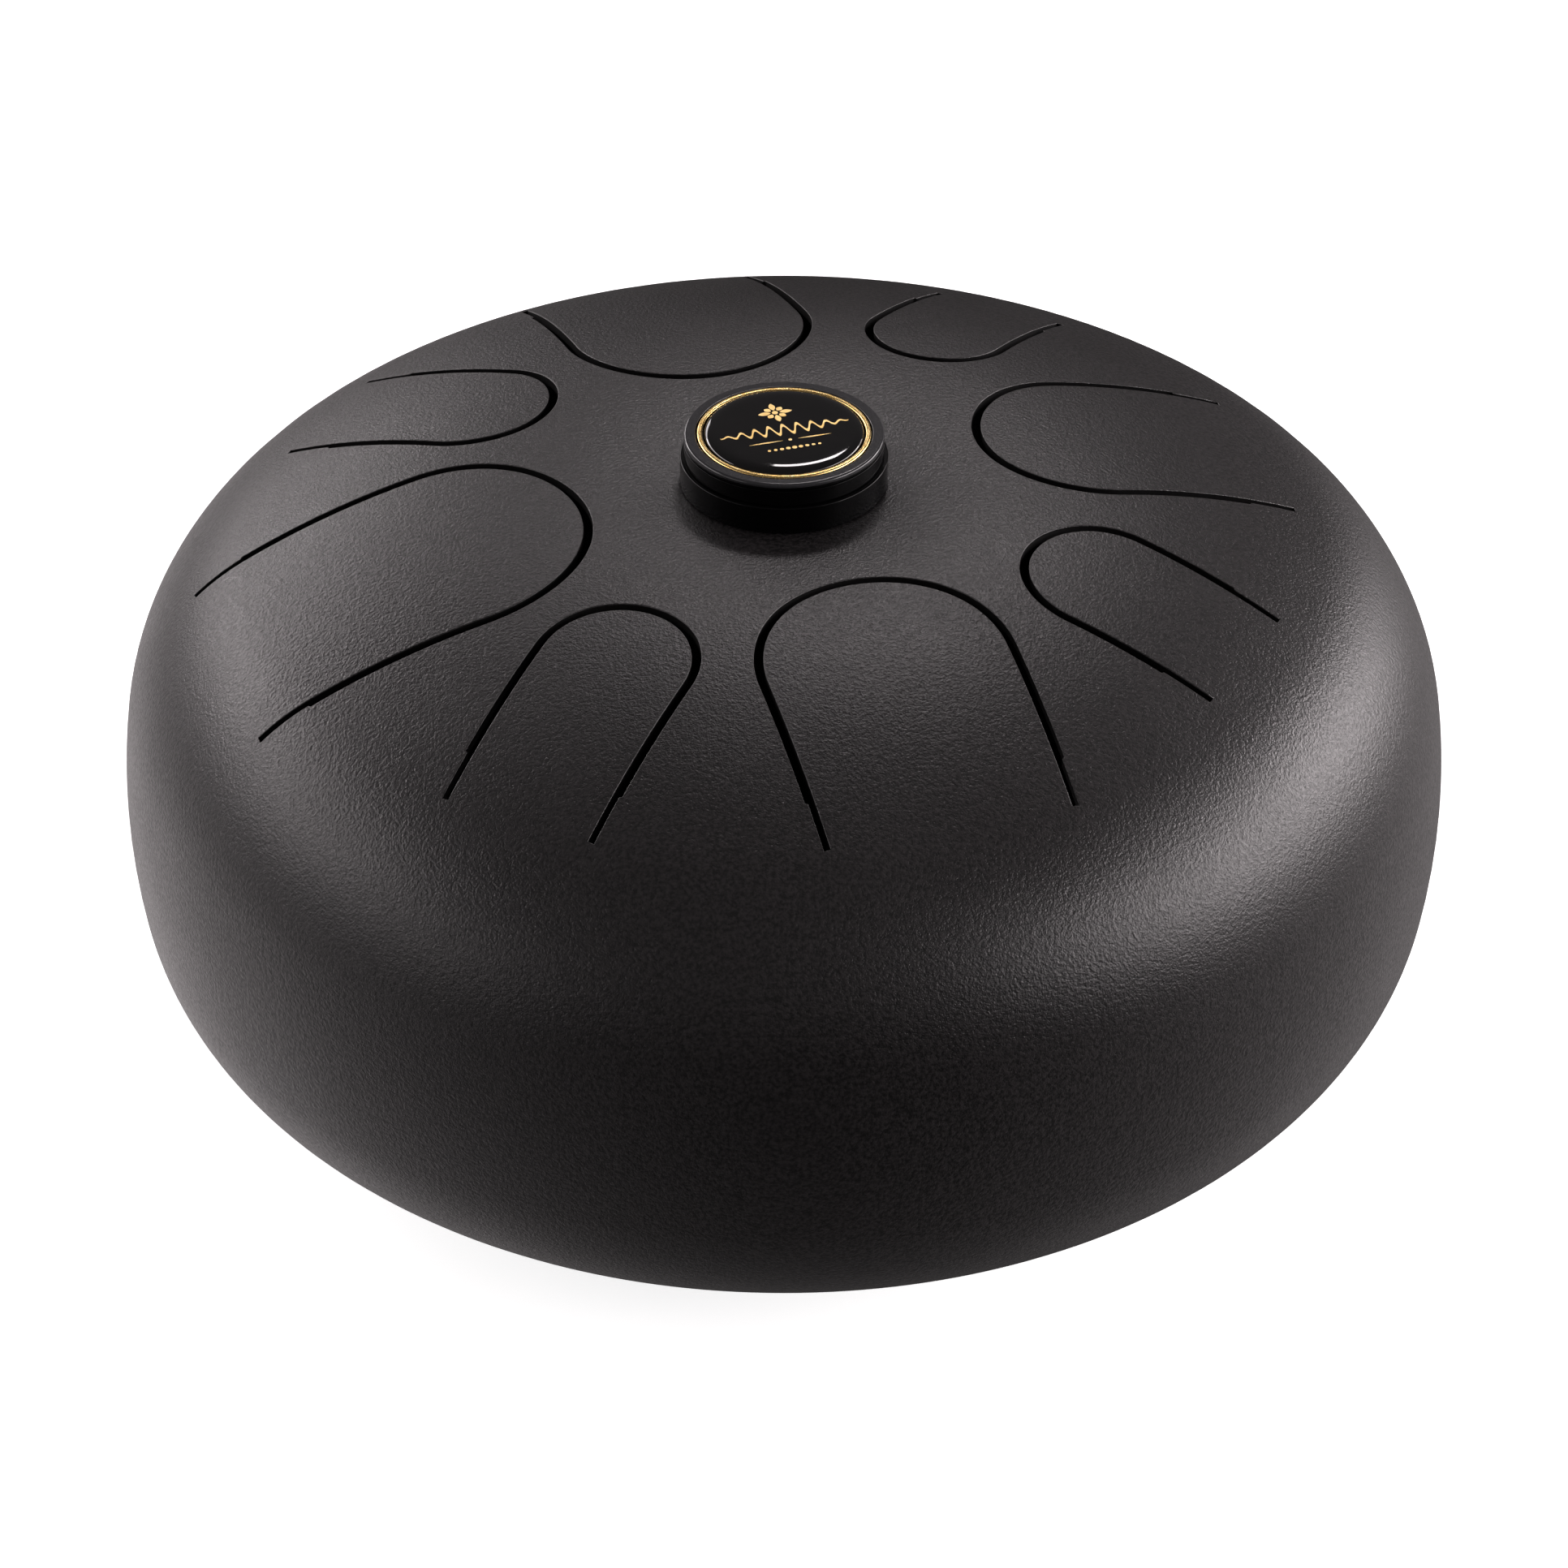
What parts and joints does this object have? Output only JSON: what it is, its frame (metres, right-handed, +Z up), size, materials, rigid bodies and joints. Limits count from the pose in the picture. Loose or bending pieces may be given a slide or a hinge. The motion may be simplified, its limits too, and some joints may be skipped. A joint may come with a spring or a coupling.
{
  "type": "steel tongue drum",
  "caption": "Round black steel drum of two welded shells, with U-cut tongues round a raised badge puck, a sound port below and rubber feet.",
  "frame": {"origin": "on the ground under the middle of the drum, at the bottom of the feet", "axes": "+Z up through the middle of the drum, -Y towards the player's side that the picture shows, +X to the player's right"},
  "size_m": [0.3, 0.3, 0.1584],
  "materials": {
    "shell_coat": "satin black powder coat with a fine grain",
    "tongue_coat": "satin black powder coat with a fine grain",
    "weld_coat": "satin black powder coat over the ground weld",
    "puck_plastic": "polished black, satin on top",
    "gilt_ring": "polished gilt",
    "badge_resin": "clear domed resin over black with a gilt ornament",
    "foot_rubber": "matt black moulded rubber",
    "pad_rubber": "matt black rubber",
    "fastener_zinc": "bright zinc plate"
  },
  "bodies": {
    "drum": {"top_shell": "shell_coat", "seam_weld": "weld_coat", "bottom_shell": "shell_coat", "puck_pad": "pad_rubber", "puck_base": "puck_plastic", "puck_cap": "puck_plastic", "puck_ring": "gilt_ring", "puck_badge": "badge_resin", "puck_screw": "fastener_zinc", "puck_washer": "fastener_zinc", "puck_nut": "fastener_zinc", "foot_1": "foot_rubber", "foot_screw_1": "fastener_zinc", "foot_washer_1": "fastener_zinc", "foot_nut_1": "fastener_zinc", "foot_2": "foot_rubber", "foot_screw_2": "fastener_zinc", "foot_washer_2": "fastener_zinc", "foot_nut_2": "fastener_zinc", "foot_3": "foot_rubber", "foot_screw_3": "fastener_zinc", "foot_washer_3": "fastener_zinc", "foot_nut_3": "fastener_zinc", "foot_4": "foot_rubber", "foot_screw_4": "fastener_zinc", "foot_washer_4": "fastener_zinc", "foot_nut_4": "fastener_zinc"},
    "tongue_1_steel": {"tongue_1": "tongue_coat"},
    "tongue_2_steel": {"tongue_2": "tongue_coat"},
    "tongue_3_steel": {"tongue_3": "tongue_coat"},
    "tongue_4_steel": {"tongue_4": "tongue_coat"},
    "tongue_5_steel": {"tongue_5": "tongue_coat"},
    "tongue_6_steel": {"tongue_6": "tongue_coat"},
    "tongue_7_steel": {"tongue_7": "tongue_coat"},
    "tongue_8_steel": {"tongue_8": "tongue_coat"}
  },
  "joints": [
    {"name": "tongue_1_bend", "type": "hinge", "parent": "drum", "child": "tongue_1_steel", "pos_m": [0.03529, -0.11192, 0.12872], "axis": [-0.9537, -0.3007, 0], "range_deg": [-0.4, 0.4], "stiffness_Nm_per_rad": 150},
    {"name": "tongue_2_bend", "type": "hinge", "parent": "drum", "child": "tongue_2_steel", "pos_m": [0.1001, -0.05211, 0.13075], "axis": [-0.4617, -0.887, 0], "range_deg": [-0.4, 0.4], "stiffness_Nm_per_rad": 95},
    {"name": "tongue_3_bend", "type": "hinge", "parent": "drum", "child": "tongue_3_steel", "pos_m": [0.10763, 0.03393, 0.13075], "axis": [0.3007, -0.9537, 0], "range_deg": [-0.4, 0.4], "stiffness_Nm_per_rad": 133},
    {"name": "tongue_4_bend", "type": "hinge", "parent": "drum", "child": "tongue_4_steel", "pos_m": [0.05095, 0.09788, 0.13181], "axis": [0.887, -0.4617, 0], "range_deg": [-0.4, 0.4], "stiffness_Nm_per_rad": 84},
    {"name": "tongue_5_bend", "type": "hinge", "parent": "drum", "child": "tongue_5_steel", "pos_m": [-0.03529, 0.11192, 0.12872], "axis": [0.9537, 0.3007, 0], "range_deg": [-0.4, 0.4], "stiffness_Nm_per_rad": 150},
    {"name": "tongue_6_bend", "type": "hinge", "parent": "drum", "child": "tongue_6_steel", "pos_m": [-0.10498, 0.05465, 0.12825], "axis": [0.4617, 0.887, 0], "range_deg": [-0.4, 0.4], "stiffness_Nm_per_rad": 95},
    {"name": "tongue_7_bend", "type": "hinge", "parent": "drum", "child": "tongue_7_steel", "pos_m": [-0.12241, -0.0386, 0.12234], "axis": [-0.3007, 0.9537, 0], "range_deg": [-0.4, 0.4], "stiffness_Nm_per_rad": 166},
    {"name": "tongue_8_bend", "type": "hinge", "parent": "drum", "child": "tongue_8_steel", "pos_m": [-0.05603, -0.10764, 0.12678], "axis": [-0.887, 0.4617, 0], "range_deg": [-0.4, 0.4], "stiffness_Nm_per_rad": 95}
  ]
}
